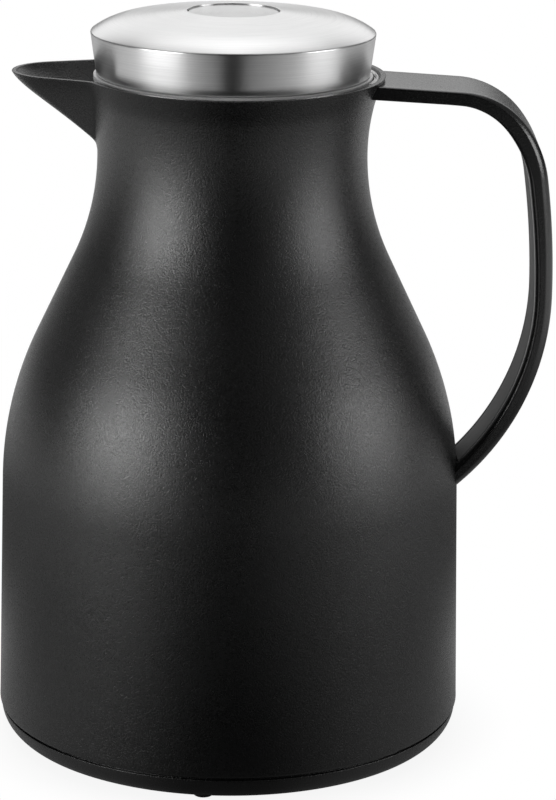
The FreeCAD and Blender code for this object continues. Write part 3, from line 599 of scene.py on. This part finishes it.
def makeInlay():
    # grip strip with a gently crowned face, lying in the channel
    outer, inward, thickness, _, travel, channel = strapStations(inlay["stationStep"])
    start, end = channel[0] + inlay["endGap"], channel[2]
    keep = (travel > start) & (travel < end)
    outer, inward, thickness, travel = outer[keep], inward[keep], thickness[keep], travel[keep]
    half = strapHalfWidth(outer, inward, thickness)[:, None] - strap["channelBorder"] - inlay["sideGap"]
    ends = np.clip(np.minimum(travel - start, end - travel) / inlay["endRound"], 0, 1)[:, None]
    rounded = np.sqrt(1 - (1 - ends) ** 2)
    side = np.linspace(-1, 1, inlay["across"])[None, :]
    brim = np.clip((1 - np.abs(side)) / inlay["brimShare"], 0, 1)
    rise = inlay["step"] * np.sqrt(1 - (1 - brim) ** 2) + inlay["crown"] * (1 - side ** 2)
    face = thickness[:, None] - inlay["step"] + rise * rounded
    back = (thickness - strap["channelDepth"] + inlay["floorGap"])[:, None] + 0 * side
    width = half * (1 - inlay["endTaper"] * (1 - rounded)) * side
    depth, across = np.hstack([face, back[:, ::-1]]), np.hstack([width, width[:, ::-1]])
    points, faces = cappedGrid(placeSection(outer, inward, depth, across))
    addPiece("inlay", points, faces, "jug", "inlay_grey", ["handle_inlay"])


anchor = {"inner": 35.75, "wallGap": 0.12, "halfWidth": 13.0, "top": 198.3, "low": 190.0, "crest": 199.9,
          "crestFoot": 41.0, "crestBrow": 41.3, "round": 0.35, "pinX": 38.03, "pinY": 1.8, "pinRadius": 1.0,
          "pinSink": 0.5, "pinRamp": 0.25, "recessHalf": 4.0, "recessDepth": 0.8, "recessRamp": 0.6,
          "recessFrom": 41.7, "recessTo": 42.0, "leastHeight": 0.02, "across": 81, "along": 71, "levels": 80}


def makeAnchor():
    # a block that follows the neck's inner face; its outer edge rises into a crest beside the lid's flange,
    # with a recess in the middle, and its top falls away in a small round at the border
    across = np.linspace(-1, 1, anchor["across"])[None, :]
    along = np.linspace(0, 1, anchor["along"])[:, None]
    y = anchor["halfWidth"] * across
    high = np.sqrt((bevelRadius(anchor["crest"]) - anchor["wallGap"]) ** 2 - y ** 2)
    x = anchor["inner"] + (high - anchor["inner"]) * along
    reach = np.hypot(x, y)
    lift = smoothStep(reach, anchor["crestFoot"], anchor["crestBrow"])
    recessSide = anchor["recessHalf"] - anchor["recessRamp"]
    recess = anchor["recessDepth"] * (1 - smoothStep(np.abs(y), recessSide, anchor["recessHalf"]))
    recess = recess * (1 - smoothStep(reach, anchor["recessFrom"], anchor["recessTo"]))
    top = anchor["top"] + (anchor["crest"] - recess - anchor["top"]) * lift
    border = np.minimum(np.minimum(x - anchor["inner"], high - x), anchor["halfWidth"] - np.abs(y))
    fall = np.clip(border / anchor["round"], 0, 1)
    top = top - anchor["round"] * (1 - np.sqrt(1 - (1 - fall) ** 2))
    fromPin = np.hypot(x - anchor["pinX"], y - anchor["pinY"])
    pinEdge = anchor["pinRadius"] + anchor["pinRamp"]
    top = top - anchor["pinSink"] * (1 - smoothStep(fromPin, anchor["pinRadius"], pinEdge))
    upper = np.stack([x, y + 0 * x, top], -1)
    levels = np.linspace(anchor["low"], anchor["crest"], anchor["levels"])
    under = np.interp(reach + anchor["wallGap"], bevelRadius(levels), levels)
    lower = np.stack([x, y + 0 * x, np.minimum(under, top - anchor["leastHeight"])], -1)
    points, faces = cappedGrid(np.concatenate([upper, lower[:, ::-1]], 1))
    addPiece("anchor", points, faces, "jug", "anchor_grey", ["handle_anchor"])


makeStrap()
makeInlay()
makeAnchor()
print("handle made")

# Lid and button

lid = {"foot": 200.5, "footRadius": 39.97, "rim": 212.7, "rimRadius": 41.6, "holeRadius": 13.5,
       "crown": 6.5, "shoulder": 22.0, "shoulderTurn": 30.0, "sheet": 0.6, "edge": 0.6, "hem": 1.4,
       "hemLift": 0.1, "hemRound": 0.2, "footRound": 0.35, "holeRound": 0.2, "innerRound": 0.1,
       "traceStep": 0.8, "edgePoints": 3, "columns": 288}


def makeLid():
    # steel shell: leaning side, domed top and a hem turned in at the foot
    slope, edgeSlope = math.radians(lid["crown"]), math.radians(lid["crown"] + lid["shoulderTurn"])
    run = lid["rimRadius"] - lid["holeRadius"] - lid["shoulder"] * (math.sin(edgeSlope) - math.sin(slope))
    hole = lid["rim"] + run * math.tan(slope) + lid["shoulder"] * (math.cos(slope) - math.cos(edgeSlope))
    moves = [(run / math.cos(slope), 0), (lid["shoulder"], -lid["shoulderTurn"])]
    crown = tracePath((lid["holeRadius"], hole), -lid["crown"], moves, lid["traceStep"])
    under = crown[:-lid["edgePoints"]] - np.array([0.0, lid["sheet"]])
    low, footRadius, hemRadius = lid["foot"], lid["footRadius"], lid["footRadius"] - lid["hem"]
    hemTop = low + lid["sheet"] + lid["hemLift"]
    side = [(hemRadius, low, lid["hemRound"]), (footRadius, low, lid["footRound"]),
            (lid["rimRadius"], lid["rim"], lid["edge"])]
    top = plain(crown[-2:0:-1]) + [(lid["holeRadius"], hole, lid["holeRound"])] + plain(under)
    hem = [(footRadius - lid["sheet"], hemTop, lid["innerRound"]), (hemRadius, hemTop, lid["innerRound"])]
    turnedPiece("lid_shell", side + top + hem, "lid", "lid_steel", ["lid_cap"], lid["columns"])
    return hole


button = {"radius": 13.2, "sink": 0.5, "skirt": 2.2, "sheet": 0.6, "edge": 0.3, "round": 0.1, "dish": 0.25,
          "flatRing": 1.0, "rings": 14}


def makeButton(hole):
    # a shallow steel cup, its top dished a little: z rises with the square of the distance from the axis
    top, radius, small = hole - button["sink"], button["radius"], button["round"]
    inner, under = radius - button["sheet"], top - button["sheet"] - button["dish"]
    low = top - button["skirt"]
    reach = np.linspace(radius - button["flatRing"], 0, button["rings"])
    dished = np.stack([reach, top - button["dish"] * (1 - (reach / reach[0]) ** 2)], 1)
    cup = [(0, under, 0), (inner, under, small), (inner, low, small), (radius, low, small),
           (radius, top, button["edge"])]
    turnedPiece("button_top", cup + plain(dished), "button", "button_steel", ["button_cap"])


makeButton(makeLid())
print("lid and button made")

# Stage: floor, lights and camera, in metres
# four numbers are a step: where it starts and ends, and its value before and after
# three numbers are a slot: the sideways share where it starts to clear and is clear, and its tone

# apart from the paper and the camera's glow, these tones, slots and glows are painted shade and painted light
# that only reflections see
floorLook = {"size": 8.0, "paper": 0.85, "glow": (0.066, 0.09, 0.90, 1.0),
             "mainTone": (0.19, 0.46, 0.14, 0.74), "closeTone": (0.10, 0.19, 0.24, 0.0),
             "narrowSlot": (0.06, 0.24, 0.0),
             "broadSlot": (0.13, 0.95, 0.05), "broadNear": (0.30, 0.38, 1.0, 0.0),
             "broadFar": (0.44, 0.54, 0.0, 0.8), "rearSide": (0.0, 0.15, 0.0, 0.65),
             "rearReach": (0.38, 0.52, 1.0, 0.0), "backSide": (0.0, 0.07, 0.0, 1.0),
             "backGlow": (0.10, 0.25, 0.26, 0.03), "footGlow": (0.075, 0.098, 0.11, 0.0),
             "footSlot": (0.1, 0.5, 0.4)}
airLook = {"back": (0.65, 0.93, 0.15, 1.0), "horizon": (0.04, 0.20, 0.06, 1.0), "slot": (0.10, 0.55, 0.02)}
slotRight = 0.9  # the slot is a little wider on the right


def frontSlot(x, y, low, high, tone):
    # nearly black towards the camera, clear at the sides and behind; on the floor this is a painted dark
    # strip of shade that only reflections see, in the world it dims the light
    side = x.calc("MAXIMUM", x * slotRight, x * -1.0)
    clear = side.ease(low, high, tone, 1.0)
    return clear.calc("MAXIMUM", clear, y.calc("GREATER_THAN", y, 0.0))


def floorPaper():
    # white to the camera and darkened by the jug's shadow near it; reflections see painted tones that change
    # with the distance from the jug: painted shade, darker near the jug and in a dark strip in front, and
    # painted light, a faint glow behind the jug and at its foot
    material = bpy.data.materials.new("floor_paper")
    material.use_nodes = True
    tree = Tree(material.node_tree)
    tree.nodes.remove(tree.nodes["Principled BSDF"])
    x, y = tree.split(tree.add("ShaderNodeTexCoord", output="Object"))[:2]
    away = (x * x + y * y).root() + tiny
    seen = tree.add("ShaderNodeLightPath", output="Is Camera Ray")
    glossy = tree.add("ShaderNodeLightPath", output="Is Glossy Ray")
    slots = ("narrowSlot", "broadSlot", "footSlot")
    # painted shade: slots that darken a strip of floor in front of the jug, seen only in reflections
    narrow, broad, atFoot = (frontSlot(x / away, y / away, *floorLook[slot]) for slot in slots)
    share = away.ease(*floorLook["broadNear"]) + away.ease(*floorLook["broadFar"])
    rear = 1 - y.ease(*floorLook["rearSide"]) * away.ease(*floorLook["rearReach"])
    # painted shade in reflections: the floor's tone is darker near the jug than far away
    mirrored = away.ease(*floorLook["mainTone"]) + away.ease(*floorLook["closeTone"])
    mirrored = mirrored * (narrow + (broad - narrow) * share) * rear
    glow = away.ease(*floorLook["glow"])
    # painted light in reflections: a white glow behind the jug and at its foot, seen only by glossy rays
    paintedBackGlow = y.ease(*floorLook["backSide"]) * away.ease(*floorLook["backGlow"])
    under = away.ease(*floorLook["footGlow"]) * atFoot
    tone = seen * floorLook["paper"] + (1 - seen) * mirrored
    colour = tree.add("ShaderNodeCombineColor", None, {0: tone, 1: tone, 2: tone})
    paper = tree.add("ShaderNodeBsdfDiffuse", None, {"Color": colour})
    white = tree.add("ShaderNodeEmission", None, {"Color": grey(1.0), "Strength": 1.0})
    lit = seen * glow + glossy * (paintedBackGlow + under)
    mixed = tree.add("ShaderNodeMixShader", None, {0: lit, 1: paper, 2: white})
    tree.feed(tree.nodes["Material Output"].inputs["Surface"], mixed)
    return material


def makeFloor():
    # one square sheet under the jug
    half = floorLook["size"] / 2
    corners = [(-half, -half, 0), (half, -half, 0), (half, half, 0), (-half, half, 0)]
    mesh = bpy.data.meshes.new("floor")
    mesh.from_pydata(corners, [], [(0, 1, 2, 3)])
    floor = bpy.data.objects.new("floor", mesh)
    bpy.context.scene.collection.objects.link(floor)
    mesh.materials.append(floorPaper())


def makeWorld():
    # white to the camera; to all else white behind the jug, dim at its sides and dark towards the camera
    world = bpy.data.worlds.new("studio")
    bpy.context.scene.world = world
    world.use_nodes = True
    tree = Tree(world.node_tree)
    x, y, z = tree.split(tree.add("ShaderNodeTexCoord", output="Generated"))
    away = (x * x + y * y).root() + tiny
    camera = tree.add("ShaderNodeLightPath", output="Is Camera Ray")
    light = (y / away).ease(*airLook["back"]) * z.ease(*airLook["horizon"])
    light = light * frontSlot(x / away, y / away, *airLook["slot"])
    sky = tree.nodes["Background"]
    sky.inputs["Color"].default_value = grey(1.0)
    tree.feed(sky.inputs["Strength"], light + camera * (1 - light))


lampAim = (0, 0, 0.11)
lamps = {
    "left_box": {"azimuth": -57, "elevation": 12, "distance": 1.2, "width": 0.72, "height": 0.44,
                 "power": 5.3},
    "right_box": {"azimuth": 75, "elevation": 12, "distance": 1.2, "width": 0.62, "height": 0.44,
                  "power": 3.0},
    "top_box": {"azimuth": 180, "elevation": 72, "distance": 1.4, "width": 1.3, "height": 0.9,
                "power": 9.0, "mirrored": False},
    "crown_box": {"azimuth": 180, "elevation": 78, "distance": 1.4, "width": 1.5, "height": 1.3,
                  "power": 3.0},
}


def areaLight(name, azimuth, elevation, distance, width, height, power, mirrored=True):
    # azimuth 0 is the camera's side, positive to the right; the lamp faces the middle of the jug and may be
    # left out of mirror reflections
    turn, rise = math.radians(azimuth), math.radians(elevation)
    data = bpy.data.lights.new(name, "AREA")
    data.shape, data.size, data.size_y, data.energy = "RECTANGLE", width, height, power
    lamp = bpy.data.objects.new(name, data)
    lamp.visible_glossy = mirrored
    swing = Matrix.Rotation(turn, 4, "Z") @ Matrix.Rotation(math.pi / 2 - rise, 4, "X")
    lamp.matrix_world = Matrix.Translation(lampAim) @ swing @ Matrix.Translation((0, 0, distance))
    bpy.context.scene.collection.objects.link(lamp)


view = {"place": (0.01425, -0.8846, 0.3541), "down": 15.95, "roll": 0.70, "lens": 137.63, "sensor": 36.0}


def makeCamera():
    # looks along +Y, tipped down and rolled a little
    data = bpy.data.cameras.new("camera")
    data.lens, data.sensor_width = view["lens"], view["sensor"]
    camera = bpy.data.objects.new("camera", data)
    tip = Matrix.Rotation(math.radians(90 - view["down"]), 4, "X")
    roll = Matrix.Rotation(math.radians(view["roll"]), 4, "Z")
    camera.matrix_world = Matrix.Translation(view["place"]) @ tip @ roll
    bpy.context.scene.collection.objects.link(camera)
    bpy.context.scene.camera = camera


makeFloor()
makeWorld()
for name, lamp in lamps.items():
    areaLight(name, **lamp)
makeCamera()
bpy.context.scene.view_settings.view_transform = "Standard"
print("stage made")
